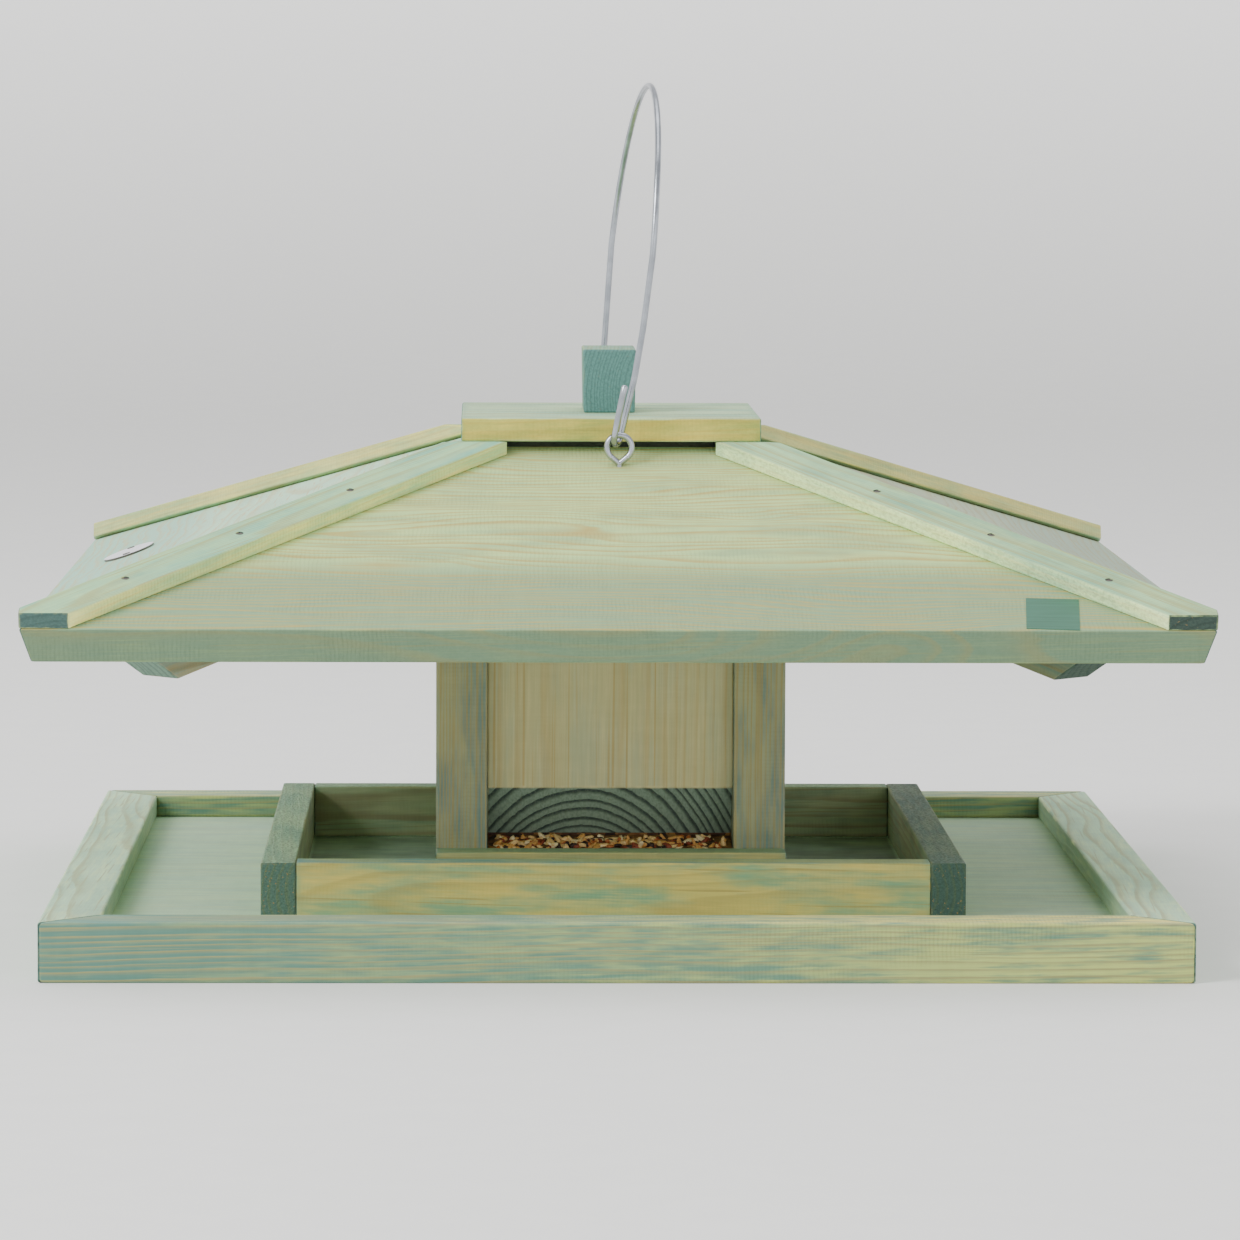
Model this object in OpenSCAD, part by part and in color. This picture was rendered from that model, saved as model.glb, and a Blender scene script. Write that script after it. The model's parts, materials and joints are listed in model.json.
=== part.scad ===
// Hanging bird table. A square tray with a smaller seed frame carries a square
// hopper under a hipped roof. The lid lifts off the roof for filling, and a wire
// bail hooked into two screw eyes hangs the table up. Millimetres. The tray stands
// on z = 0, centred on the origin, with its front towards -y.

/* [Tray] */
// Outer width of the square tray
tray_w = 510; // [480:5:560]
// Width of the rim boards, seen from above
rim_w = 27; // [22:1:40]
// Height of the rim boards
rim_h = 27; // [25:1:45]
// Depth of the rebate in the rim that holds the floor
rebate_w = 14; // [12:0.5:18]
// Thickness of the floor panel
floor_t = 16; // [12:0.5:19]

/* [Seed frame] */
// Outer width of the square seed frame on the floor
frame_w = 321; // [280:1:400]
// Thickness of the frame's rails
rail_t = 16; // [12:0.5:22]
// Height of the frame's rails
rail_h = 25.5; // [20:0.5:40]

/* [Hopper] */
// Outer width of the square hopper
hopper_w = 163; // [150:1:180]
// Width of the square corner posts
post_w = 24; // [22:0.5:30]
// Thickness of the boards between the posts
board_t = 16; // [10:0.5:16]
// How far the boards lie behind the posts' outer faces
board_set = 8; // [2:0.5:8]
// Height of the feeding slot under the front and back boards
slot_h = 26.5; // [24:0.5:40]
// Bevel under the front and back boards, up from level
slot_bevel = 56; // [20:1:60]
// Thickness of the kick rails in front of the posts' feet
kick_t = 17; // [10:0.5:25]
// Height of the kick rails
kick_h = 22.5; // [18:0.5:24]
// Height of the seed inside the hopper, above the floor
seed_h = 94; // [60:1:120]

/* [Roof] */
// Width of the square roof across its eaves' top edges
roof_w = 524; // [500:2:600]
// Height of the eaves' top edge above the ground
eave_z = 156.9; // [145:0.1:190]
// Pitch of the four roof panels
roof_pitch = 18.7; // [16:0.1:22]
// Thickness of the roof panels
panel_t = 16; // [14:0.5:20]
// Width of the square filling hole, across the panels' top edges
throat_w = 120; // [110:1:126]
// Width of the square-cut hip rafters
rafter_w = 24; // [18:0.5:24]
// Depth of the hip rafters
rafter_h = 26; // [18:0.5:28]
// From the roof's corner in to the rafter's lower tip, along the hip
rafter_setback = 83; // [70:1:110]
// Width of the battens over the hip joints
batten_w = 20.5; // [16:0.5:24]
// Thickness of the battens
batten_t = 7.5; // [6.5:0.5:9]
// How far the battens lap past the hip joint
batten_lap = 4.5; // [2:0.5:6]

/* [Lid] */
// Width of the square lid
lid_w = 140; // [134:1:144]
// Height of the lid's underside over the panels at the lid's edge
lid_seat = 6.1; // [5.5:0.1:6.5]
// Thickness of the lid
lid_t = 11; // [8:0.5:16]
// Width of the locating block under the lid
locator_w = 104; // [90:1:106]
// Thickness of the locating block
locator_t = 12; // [8:0.5:16]
// Width of the knob at its top
knob_top_w = 25.2; // [20:0.2:40]
// Width of the knob at its foot
knob_foot_w = 24.2; // [18:0.2:40]
// Length of the knob from front to back
knob_l = 46; // [30:1:70]
// Height of the knob
knob_h = 30; // [20:1:40]

/* [Bail and screw eyes] */
// Thickness of the bail's wire
bail_wire = 3; // [2.5:0.1:3.2]
// Height of the bail's top above its hooks, measured along the bail
bail_h = 167; // [150:1:220]
// Lean of the bail to the right as it stands
bail_lean = 6.5; // [0:0.5:12]
// Turn of the bail's half-round top against its hooks
bail_turn = 4; // [0:0.2:6]
// Bend radius of the hooks at the bail's ends
hook_r = 4.6; // [4.4:0.1:5]
// Turn of the hooks about the bail's legs
hook_turn = 22; // [0:1:24]
// Length of the hooks' free tails
hook_tail = 27; // [12:1:34]
// How far the hooks sit to one side in the eyes
hook_slack = 1.6; // [0:0.1:2]
// Running gap between the hooks and the eyes they rest in
hook_gap = 0.5; // [0.4:0.05:0.6]
// Thickness of the screw eyes' wire
eye_wire = 3; // [2.4:0.1:3]
// Outer width of the screw eyes' ring
eye_ring = 14.5; // [14.5:0.1:18]
// From the middle of the roof out to the screw eyes
eye_reach = 83; // [79:0.5:90]
// How far the screw eyes are set to one side of the middle
eye_offset = 3.5; // [0:0.5:5]
// Depth of the eyes' threads in the roof
eye_thread = 12; // [8:0.5:12]

/* [Small parts] */
// Length of the oval metal tag on the left roof panel, along the board
tag_l = 50; // [36:1:70]
// Width of the oval tag, up the slope
tag_w = 25; // [18:0.5:40]
// Thickness of the oval tag
tag_t = 1; // [0.6:0.1:2]
// Place of the tag: across from the panel's middle
tag_across = -36; // [-110:1:110]
// Place of the tag: up the slope from the eave
tag_up = 33; // [24:1:60]
// Width of the blank label on the front roof panel
label_w = 23.4; // [15:0.1:40]
// Height of the blank label, up the slope
label_h = 33.5; // [20:0.5:35]
// Thickness of the label
label_t = 0.3; // [0.2:0.05:0.5]
// Place of the label: its middle in from the roof's right corner
label_in = 71; // [65:1:240]
// Turn of the label on the panel
label_turn = -4; // [-6:1:6]
// Place of the label: its lower edge up the slope from the eave
label_up = 1; // [0.5:0.1:20]
// Diameter of the wood screws
screw_d = 3.6; // [3:0.1:4]
// Diameter of the nails and brads
nail_d = 1.8; // [1.4:0.1:2]

/* [Hidden] */
$fn = 48;
glue_line = 0.1;        // joint gap where a piece meets a sloping face
seed_gap = 0.5;         // seed stays this far off the boards around it
floor_w = tray_w - 2 * (rim_w - rebate_w);
board_w = hopper_w - 2 * post_w;
post_at = (hopper_w - post_w) / 2;
board_face = hopper_w / 2 - board_set;
hip_pitch = atan(tan(roof_pitch) / sqrt(2));
slope_l = (roof_w - throat_w) / 2 / cos(roof_pitch);
hip_l = slope_l / sin(hip_angle());
rafter_end = board_w / sqrt(2) + rafter_w / 2 + 1;
rafter_tip = roof_w / sqrt(2) - rafter_setback;
rafter_drop = rafter_w / 2 * tan(roof_pitch) / sqrt(2) + glue_line;
lid_z = roof_top(lid_w / 2) + lid_seat;
eye_mouth = 80;         // angle left out of the ring, closed by the V below it
eye_ring_r = (eye_ring - eye_wire) / 2;
eye_point = eye_ring_r / cos(eye_mouth / 2);
eye_rise = eye_point + eye_wire / 3;
eye_z = roof_top(eye_reach) + eye_rise;
hook_play = eye_ring_r - eye_wire / 2 - bail_wire / 2 - hook_gap;
hinge_z = eye_z + sqrt(hook_play ^ 2 - hook_slack ^ 2);
hinge_side = eye_offset - hook_slack;
hinge_turn = atan(hinge_side / eye_reach);
hinge_reach = norm([eye_reach, hinge_side]);
arch_r = hinge_reach - hook_r * cos(hook_turn);
joint_swell = 1.05;     // bends in the wire are this much thicker where pieces meet
arm_press = 0.97;
screw_head_d = 2 * screw_d;
screw_head_h = 2.4;
screw_sink = 0.5;       // heads of screws lie this far inside the surface
nail_sink = 0.3;        // and heads of nails this far
bore_h = 2;             // the bores over sunk heads run out past the surface
rim_screw_l = 22;
rim_screw_in = 60;      // in from the tray's corners
rail_screw_l = 32;
rail_screw_in = 50;     // in from the seed frame's corners
post_screw_l = 45;
rafter_screw_l = 44;
nail_head_d = 2 * nail_d;
nail_head_h = 0.8;
kick_nail_l = 34;
brad_l = 17;
brads = [0.2, 0.44, 0.68];  // places of the brads along a batten
// Pins of the metal tag: distance in from its tips, and how deep they hold in the board
tag_pin_in = 6;
tag_pin_hold = 8;
far = 600;              // longer than anything here, for cutting tools

// Height of the roof's top face and underside at a distance from the middle
function roof_top(reach) = eave_z + (roof_w / 2 - reach) * tan(roof_pitch);
function roof_under(reach) = roof_top(reach) - panel_t / cos(roof_pitch);
// Height of a hip rafter's top and underside at a distance along the diagonal
function rafter_top(reach) = roof_under(reach / sqrt(2)) - rafter_drop;
function rafter_under(reach) = rafter_top(reach) - rafter_h / cos(hip_pitch);

// Turns that bring a front piece to the other sides, and a front-left one to the other corners
front = 0;
right = 90;
back = 180;
left = 270;

module turned(turn) {
    rotate([0, 0, turn]) children();
}

module on_four_sides() {
    for (turn = [front, right, back, left]) turned(turn) children();
}

// Draws a profile of [distance from the middle, height] and gives it a width
module upright(points, width) {
    rotate([90, 0, -90])
        linear_extrude(width, center = true)
            polygon([for (p = points) [p[0], p[1]]]);
}

// The same, standing in the vertical plane of the front-left diagonal
module upright_on_hip(points, width) {
    rotate([0, 0, -45]) upright(points, width);
}

// Places flat work on the front roof panel: x across, y up the slope from the eave
module on_front_slope() {
    translate([0, -roof_w / 2, eave_z]) rotate([roof_pitch, 0, 0]) children();
}

/* Fasteners. Each stands head down at its own origin and points up. With a bore it is the
   tool that cuts its place: the same shape, run out past the surface over its sunk head. */

module wood_screw(length, bore = false) {
    cylinder(h = screw_head_h, d1 = screw_head_d, d2 = screw_d);
    cylinder(h = length, d = screw_d);
    if (bore) mirror([0, 0, 1]) cylinder(h = bore_h, d = screw_head_d);
}

module nail(length, bore = false) {
    cylinder(h = nail_head_h, d = nail_head_d);
    cylinder(h = length, d = nail_d);
    if (bore) mirror([0, 0, 1]) cylinder(h = bore_h, d = nail_head_d);
}

module rim_screws(bore = false) {
    color("silver") on_four_sides()
        for (side = [-1, 1])
            translate([side * (tray_w / 2 - rim_screw_in), -(floor_w - rebate_w) / 2, screw_sink])
                wood_screw(rim_screw_l, bore);
}

module rail_screws(bore = false) {
    color("silver") on_four_sides()
        for (side = [-1, 1])
            translate([side * (frame_w / 2 - rail_screw_in), -(frame_w - rail_t) / 2, screw_sink])
                wood_screw(rail_screw_l, bore);
}

module post_screws(bore = false) {
    color("silver") on_four_sides()
        translate([-post_at, -post_at, screw_sink]) wood_screw(post_screw_l, bore);
}

module rafter_screws(bore = false) {
    head_at = sqrt(2) * post_at + post_w / 6;
    color("silver") on_four_sides()
        rotate([0, 0, -45])
            translate([0, -head_at, rafter_top(head_at) - screw_sink - screw_head_h / 2])
                mirror([0, 0, 1]) wood_screw(rafter_screw_l, bore);
}

module kick_rail_nails(bore = false) {
    color("silver")
        for (turn = [front, back], side = [-1, 1])
            turned(turn)
                translate([
                    side * (post_at + post_w / 5), -hopper_w / 2 - kick_t + nail_sink,
                    floor_t + kick_h / 2
                ]) rotate([-90, 0, 0]) nail(kick_nail_l, bore);
}

module batten_brads(bore = false) {
    color("dimgray") {
        at_left_hip() brad_row(bore);
        at_right_hip() brad_row(bore);
        turned(back) at_left_hip() brad_row(bore);
        turned(back) at_right_hip() brad_row(bore);
    }
}

module brad_row(bore) {
    for (part = brads)
        translate([part * hip_l, batten_lap - batten_w / 2, batten_t - nail_sink])
            mirror([0, 0, 1]) nail(brad_l, bore);
}

/* Tray */

module tray_floor() {
    color("#8fa394") difference() {
        translate([-floor_w / 2, -floor_w / 2, 0]) cube([floor_w, floor_w, floor_t]);
        rim_screws(bore = true);
        rail_screws(bore = true);
        post_screws(bore = true);
    }
}

// Mitred rim board along the front, rebated for the floor
module rim() {
    outer = tray_w / 2;
    inner = outer - rim_w;
    color("#8fae9a") difference() {
        linear_extrude(rim_h)
            polygon([[-outer, -outer], [outer, -outer], [inner, -inner], [-inner, -inner]]);
        translate([-floor_w / 2, -floor_w / 2, -1]) cube([floor_w, floor_w, floor_t + 1]);
        rim_screws();
    }
}

/* Seed frame: the left and right rails run through, the others fit between them */

module rail(length) {
    color("#a9a878") difference() {
        translate([-length / 2, -frame_w / 2, floor_t]) cube([length, rail_t, rail_h]);
        rail_screws();
    }
}

/* Hopper */

// Corner post, cut off under its rafter; turn 0 is the front-left one
module post(turn) {
    color("#9aa480") difference() {
        turned(turn) difference() {
            translate([-hopper_w / 2, -hopper_w / 2, floor_t]) cube([post_w, post_w, far]);
            upright_on_hip([[0, rafter_under(0)], [far, rafter_under(far)], [far, 2 * far], [0, 2 * far]], far);
        }
        post_screws();
        rafter_screws();
        kick_rail_nails();
    }
}

// Board between the posts, from the given foot up to the roof
module hopper_board(outer_foot, inner_foot) {
    inner_face = board_face - board_t;
    color("#b9b08c")
        upright([
            [board_face, outer_foot],
            [inner_face, inner_foot],
            [inner_face, roof_under(inner_face) - glue_line],
            [board_face, roof_under(board_face) - glue_line]
        ], board_w);
}

module feeding_board() {
    foot = floor_t + slot_h;
    hopper_board(foot + board_t * tan(slot_bevel), foot);
}

module closed_board() {
    hopper_board(floor_t, floor_t);
}

module kick_rail() {
    color("#b0ab78") difference() {
        translate([-hopper_w / 2, -hopper_w / 2 - kick_t, floor_t]) cube([hopper_w, kick_t, kick_h]);
        kick_rail_nails(bore = true);
    }
}

// Seed heaped inside the hopper and spilling under both feeding boards
module seed_fill() {
    lip = hopper_w / 2 - seed_gap;
    wall = board_face - board_t - seed_gap;
    lip_z = floor_t + kick_h - 1;
    wall_z = floor_t + slot_h - seed_gap;
    top_z = floor_t + seed_h;
    color("#b58b4c")
        upright([
            [-lip, floor_t], [lip, floor_t], [lip, lip_z], [wall, wall_z], [wall, top_z],
            [-wall, top_z], [-wall, wall_z], [-lip, lip_z]
        ], 2 * wall);
}

/* Roof */

// Rafter under the front-left hip, its outer end cut back at 45 degrees to its length
module rafter() {
    rise = rafter_h * (cos(hip_pitch) - sin(hip_pitch));
    run = rafter_h * (cos(hip_pitch) + sin(hip_pitch));
    color("#7e9a8b") difference() {
        upright_on_hip([
            [rafter_end, rafter_under(rafter_end)],
            [rafter_tip, rafter_under(rafter_tip)],
            [rafter_tip + run, rafter_under(rafter_tip) + rise],
            [rafter_end, rafter_top(rafter_end)]
        ], rafter_w);
        rafter_screws(bore = true);
    }
}

// Front roof panel with square-cut edges, mitred along both hips
module roof_panel() {
    eave = roof_w / 2;
    throat = throat_w / 2;
    color("#b3bda2") difference() {
        intersection() {
            on_front_slope() translate([-far, 0, -panel_t]) cube([2 * far, slope_l, panel_t]);
            linear_extrude(far) polygon([[0, 0], [far, -far], [-far, -far]]);
        }
        children();
    }
}

// Angle between the eave and the hip, in the plane of a roof panel
function hip_angle() = atan(1 / cos(roof_pitch));

// Places work on the front panel's hips: x up along the hip, y outwards past it
module at_left_hip() {
    on_front_slope() translate([-roof_w / 2, 0, 0]) rotate([0, 0, hip_angle()]) children();
}

module at_right_hip() {
    mirror([1, 0, 0]) at_left_hip() children();
}

// Batten over the front-left hip: cut off along both eaves, square at its upper end,
// and planed level where the lid sits on it
module batten() {
    color("#c3bd96") difference() {
        on_front_slope() linear_extrude(batten_t) intersection() {
            translate([-roof_w / 2, 0]) square([roof_w / 2, slope_l]);
            translate([-roof_w / 2, 0]) rotate(hip_angle())
                translate([-batten_w, batten_lap - batten_w]) square([batten_w + hip_l, batten_w]);
        }
        translate([-far, -far, lid_z]) cube(2 * far);
        batten_brads(bore = true);
    }
}

// Ring of bent wire whose two ends close in a V over a threaded shank
module screw_eye() {
    half = eye_mouth / 2;
    color("lightgray") translate([eye_offset, -eye_reach, eye_z]) {
        rotate([90, 90 - half, 0]) rotate_extrude(angle = 360 - eye_mouth)
            translate([eye_ring_r, 0]) circle(d = eye_wire);
        eye_arm(half);
        mirror([1, 0, 0]) eye_arm(half);
        rod([0, 0, -eye_rise - eye_thread], [0, 0, -eye_point], eye_wire);
        wire_joint([0, 0, -eye_point], eye_wire);
    }
}

// Right arm of the V, pressed a little thinner than the ring
module eye_arm(half) {
    ring_end = eye_ring_r * [sin(half), 0, -cos(half)];
    arm = [0, 0, -eye_point] - ring_end;
    rod(ring_end - arm / 10, ring_end + arm, arm_press * eye_wire);
    wire_joint(ring_end, eye_wire);
}

module eye_bore() {
    translate([eye_offset, -eye_reach, eye_z]) {
        rod([0, 0, -eye_rise - eye_thread], [0, 0, -eye_wire], eye_wire);
    }
}

// Round rod from one point to another
module rod(from, to, width) {
    way = to - from;
    translate(from) rotate([0, acos(way[2] / norm(way)), atan2(way[1], way[0])])
        cylinder(h = norm(way), d = width);
}

module wire_joint(place, width) {
    translate(place) sphere(d = joint_swell * width, $fn = 32);
}

/* Bail: two hooks, two straight legs and a half-round top, turned a little against the hooks */

module wire_bend(radius) {
    rotate([90, 0, 90]) rotate_extrude(angle = 180) translate([radius, 0]) circle(d = bail_wire);
}

// Hook and leg of the front side, around the hinge line along y
module bail_leg() {
    sideways = [hook_r * sin(hook_turn), hook_r * cos(hook_turn), 0];
    bend = [0, -hinge_reach, hook_r];
    tail = bend - sideways + [0, 0, hook_tail - hook_r];
    arch_foot = [arch_r * sin(bail_turn), -arch_r * cos(bail_turn), bail_h - arch_r];
    translate(bend) rotate([0, 0, -hook_turn]) mirror([0, 0, 1]) wire_bend(hook_r);
    rod(bend - sideways, tail, bail_wire);
    rod(bend + sideways, arch_foot, bail_wire);
    wire_joint(tail, bail_wire);
    wire_joint(bend - sideways, bail_wire);
    wire_joint(bend + sideways, bail_wire);
    wire_joint(arch_foot, bail_wire);
}

module bail() {
    color("silver") translate([0, 0, hinge_z]) rotate([0, 0, hinge_turn]) rotate([0, bail_lean, 0]) {
        bail_leg();
        turned(back) bail_leg();
        translate([0, 0, bail_h - arch_r]) rotate([0, 0, bail_turn]) wire_bend(arch_r);
    }
}

/* Lid */

module lid_plate() {
    color("#a8ab80") difference() {
        translate([-lid_w / 2, -lid_w / 2, lid_z]) cube([lid_w, lid_w, lid_t]);
        lid_screw();
    }
}

module lid_locator() {
    color("#8fa394") difference() {
        translate([-locator_w / 2, -locator_w / 2, lid_z - locator_t])
            cube([locator_w, locator_w, locator_t]);
        lid_screw(bore = true);
    }
}

module lid_knob() {
    color("#5f8f84") difference() {
        translate([0, 0, lid_z + lid_t]) rotate([90, 0, 0])
            linear_extrude(knob_l, center = true)
                polygon([
                    [-knob_foot_w / 2, 0], [knob_foot_w / 2, 0],
                    [knob_top_w / 2, knob_h], [-knob_top_w / 2, knob_h]
                ]);
        lid_screw();
    }
}

module lid_screw(bore = false) {
    color("silver") translate([0, 0, lid_z - locator_t + screw_sink])
        wood_screw(locator_t + lid_t + knob_h / 2, bore);
}

/* Small parts */

module on_tag_place() {
    turned(left) on_front_slope() translate([tag_across, tag_up, 0]) children();
}

module tag_pins() {
    color("gray") on_tag_place()
        for (side = [-1, 1])
            translate([side * (tag_l / 2 - tag_pin_in), 0, tag_t + nail_head_h / 2])
                mirror([0, 0, 1]) nail(tag_t + tag_pin_hold);
}

module metal_tag() {
    color("gainsboro") difference() {
        on_tag_place() linear_extrude(tag_t) scale([tag_l / tag_w, 1]) circle(d = tag_w);
        tag_pins();
    }
}

module blank_label() {
    color("#3f7d62") on_front_slope()
        translate([roof_w / 2 - label_in, label_up + label_h / 2, 0]) rotate(label_turn)
            translate([-label_w / 2, -label_h / 2, 0]) cube([label_w, label_h, label_t]);
}

tray_floor();
turned(front) rim();  // rim_front
turned(right) rim();  // rim_right
turned(back) rim();  // rim_back
turned(left) rim();  // rim_left
turned(front) rail(frame_w - 2 * rail_t);  // rail_front
turned(right) rail(frame_w);  // rail_right
turned(back) rail(frame_w - 2 * rail_t);  // rail_back
turned(left) rail(frame_w);  // rail_left
post(front);  // post_front_left
post(right);  // post_front_right
post(back);  // post_back_right
post(left);  // post_back_left
turned(front) feeding_board();  // hopper_front
turned(right) closed_board();  // hopper_right
turned(back) feeding_board();  // hopper_back
turned(left) closed_board();  // hopper_left
turned(front) kick_rail();  // kick_rail_front
turned(back) kick_rail();  // kick_rail_back
seed_fill();
turned(front) rafter();  // rafter_front_left
turned(right) rafter();  // rafter_front_right
turned(back) rafter();  // rafter_back_right
turned(left) rafter();  // rafter_back_left
roof_panel() { batten_brads(); eye_bore(); }  // roof_front
turned(right) roof_panel();  // roof_right
turned(back) roof_panel() { batten_brads(); eye_bore(); }  // roof_back
turned(left) roof_panel() turned(-left) tag_pins();  // roof_left
batten();  // batten_front_left
mirror([1, 0, 0]) batten();  // batten_front_right
turned(back) batten();  // batten_back_right
turned(back) mirror([1, 0, 0]) batten();  // batten_back_left
turned(front) screw_eye();  // screw_eye_front
turned(back) screw_eye();  // screw_eye_back
bail();
lid_plate();
lid_locator();
lid_knob();
lid_screw();
metal_tag();
tag_pins();
blank_label();
rim_screws();
rail_screws();
post_screws();
rafter_screws();
kick_rail_nails();
batten_brads();
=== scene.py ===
"""Hanging bird table of green-stained softwood: every board gets its own grain and worn
arrises, the feeding slots get loose seed, and the wire, tag, label and fastenings get finishes."""

import json
import math
from collections import namedtuple

import bmesh
import bpy
import numpy as np
from mathutils import Matrix, Vector


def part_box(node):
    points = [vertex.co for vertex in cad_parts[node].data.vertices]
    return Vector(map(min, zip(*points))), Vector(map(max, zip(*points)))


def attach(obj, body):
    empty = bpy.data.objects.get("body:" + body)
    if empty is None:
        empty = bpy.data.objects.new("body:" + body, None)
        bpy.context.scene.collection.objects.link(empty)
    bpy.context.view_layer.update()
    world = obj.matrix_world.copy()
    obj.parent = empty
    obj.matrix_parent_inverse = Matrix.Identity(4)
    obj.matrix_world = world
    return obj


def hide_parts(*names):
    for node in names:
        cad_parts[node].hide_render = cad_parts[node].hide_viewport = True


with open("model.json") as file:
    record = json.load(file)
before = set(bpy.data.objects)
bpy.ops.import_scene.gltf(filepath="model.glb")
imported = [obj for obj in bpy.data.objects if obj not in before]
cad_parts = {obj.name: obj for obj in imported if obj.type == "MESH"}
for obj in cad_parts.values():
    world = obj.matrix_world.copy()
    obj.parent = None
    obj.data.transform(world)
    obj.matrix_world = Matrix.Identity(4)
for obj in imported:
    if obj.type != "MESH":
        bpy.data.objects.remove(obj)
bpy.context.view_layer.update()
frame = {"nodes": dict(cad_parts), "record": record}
MM = 0.001

# settings that several nodes share
SMOOTH = {"interpolation_type": "SMOOTHSTEP"}
RGBA = {"data_type": "RGBA"}
TINT = {"data_type": "RGBA", "blend_type": "MULTIPLY"}


# ---------------------------------------------------------------- camera


def make_camera():
    """A long lens low in front of the table, looking a little down and to the right."""
    lens = bpy.data.cameras.new("camera")
    lens.lens = 179.83
    lens.sensor_width = 36
    lens.clip_end = 60
    camera = bpy.data.objects.new("camera", lens)
    camera.location = (-0.0585, -2.9555, 0.3960)
    camera.rotation_euler = [math.radians(a) for a in (85.02, -0.209, -1.230)]
    bpy.context.scene.collection.objects.link(camera)
    bpy.context.scene.camera = camera


make_camera()


# ---------------------------------------------------------------- small helpers


def linear(code):
    """An sRGB hex colour as linear red, green, blue and alpha."""
    parts = [int(code[i : i + 2], 16) / 255 for i in (1, 3, 5)]
    return [p / 12.92 if p <= 0.04045 else ((p + 0.055) / 1.055) ** 2.4 for p in parts] + [1.0]


def add(tree, kind, feeds=(), **settings):
    """Adds a node to a tree. settings are its properties. feeds are values or links for its
    sockets, by name or in order, and a node among them stands for its first output in use."""
    made = tree.nodes.new(kind if kind.startswith("NodeGroup") else "ShaderNode" + kind)
    for key, value in settings.items():
        setattr(made, key, value)
    for key, value in feeds.items() if isinstance(feeds, dict) else enumerate(feeds):
        if isinstance(value, bpy.types.Node):
            value = next(out for out in value.outputs if out.enabled)
        if isinstance(value, bpy.types.NodeSocket):
            tree.links.new(value, made.inputs[key])
        else:
            made.inputs[key].default_value = value
    return made


def set_stops(ramp, stops):
    """Sets a colour ramp's stops from (place, grey level or hex colour) pairs."""
    marks = ramp.color_ramp.elements
    while len(marks) < len(stops):
        marks.new(0.5)
    for mark, (place, shade) in zip(marks, stops):
        mark.position = place
        mark.color = linear(shade) if isinstance(shade, str) else (shade, shade, shade, 1)


def new_material(name):
    """An empty material, and its node tree."""
    material = bpy.data.materials.new(name)
    material.use_nodes = True
    material.node_tree.nodes.clear()
    return material, material.node_tree


def end_material(tree, feeds):
    """Gives a material its shader with these feeds, joined to the material's output."""
    shader = add(tree, "BsdfPrincipled", feeds)
    add(tree, "OutputMaterial", {"Surface": shader})


def place_mesh(mesh, material, smooth):
    """An object at the origin, with its place in its mesh and one material."""
    mesh.materials.clear()
    mesh.materials.append(material)
    mesh.polygons.foreach_set("use_smooth", np.full(len(mesh.polygons), smooth))
    piece = bpy.data.objects.new(mesh.name, mesh)
    bpy.context.scene.collection.objects.link(piece)
    return piece


def new_piece(name, points, faces, material):
    """A smooth piece from an array of points and a list of faces."""
    mesh = bpy.data.meshes.new(name)
    mesh.from_pydata(points.tolist(), [], faces)
    return place_mesh(mesh, material, smooth=True)


# ---------------------------------------------------------------- stained softwood

SOCKETS = {
    "Vector": ("Point", "Knot"),
    "Float": ("End", "Ring", "Wander", "Lines", "Worn amount", "Worn level", "Deep amount", "Saw",
              "Knot size", "Edge", "Arris", "Rough", "Shade and dirt", "Soak"),
    "Color": ("Edge tint", "Stain", "Deep", "Worn", "Line", "End stain", "End line"),
}


def year_rings(group, given, fibrous):
    """Rings as distances from the pith line, in millimetres: they wander along the board, lie
    closer in lean years and swell round the knot. Gives how late in its year the wood is, the
    bands that ends show, and the distance from the knot in knot sizes."""
    drift = add(group, "VectorMath", [fibrous(170, 42, 1).outputs["Color"], (0.5, 0.5, 0.5)],
                operation="SUBTRACT")
    drift = add(group, "VectorMath", {0: drift, "Scale": given["Wander"]}, operation="SCALE")
    moved = add(group, "VectorMath", [given["Point"], drift], operation="ADD")
    moved = add(group, "VectorMath", [moved, (0, 1, 1)], operation="MULTIPLY")
    reach = add(group, "VectorMath", [moved], operation="LENGTH")
    lean_years = add(group, "TexNoise", {
        "W": add(group, "Math", [reach, 13.0], operation="DIVIDE"), "Scale": 1.0, "Detail": 1.0},
        noise_dimensions="1D")
    reach = add(group, "Math", [lean_years, 7.0, reach], operation="MULTIPLY_ADD")
    reach = add(group, "Math", [fibrous(30, 3.0, 2, 3.7), 0.9, reach], operation="MULTIPLY_ADD")

    from_knot = add(group, "VectorMath", [given["Point"], given["Knot"]], operation="SUBTRACT")
    from_knot = add(group, "VectorMath", [from_knot, (0.4, 1, 1)], operation="MULTIPLY")
    from_knot = add(group, "VectorMath", [from_knot], operation="LENGTH")
    from_knot = add(group, "Math", [from_knot, given["Knot size"]], operation="DIVIDE")
    swell = add(group, "MapRange", [from_knot, 3.2, 0.0], **SMOOTH)
    swell = add(group, "Math", [given["Knot size"], swell], operation="MULTIPLY")
    reach = add(group, "Math", [swell, 1.6, reach], operation="MULTIPLY_ADD")

    year = add(group, "Math", [reach, given["Ring"]], operation="DIVIDE")
    year = add(group, "Math", [year], operation="FRACT")
    late = add(group, "ValToRGB", [year])
    set_stops(late, [(0.0, 0.0), (0.4, 0.08), (0.64, 0.4), (0.8, 1.0), (0.92, 0.9), (1.0, 0.0)])
    bands = add(group, "MapRange", [year, 0.45, 0.82], **SMOOTH)
    fading = add(group, "MapRange", [year, 1.0, 0.93], **SMOOTH)
    bands = add(group, "Math", [bands, fading], operation="MULTIPLY")
    return late, bands, from_knot


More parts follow.
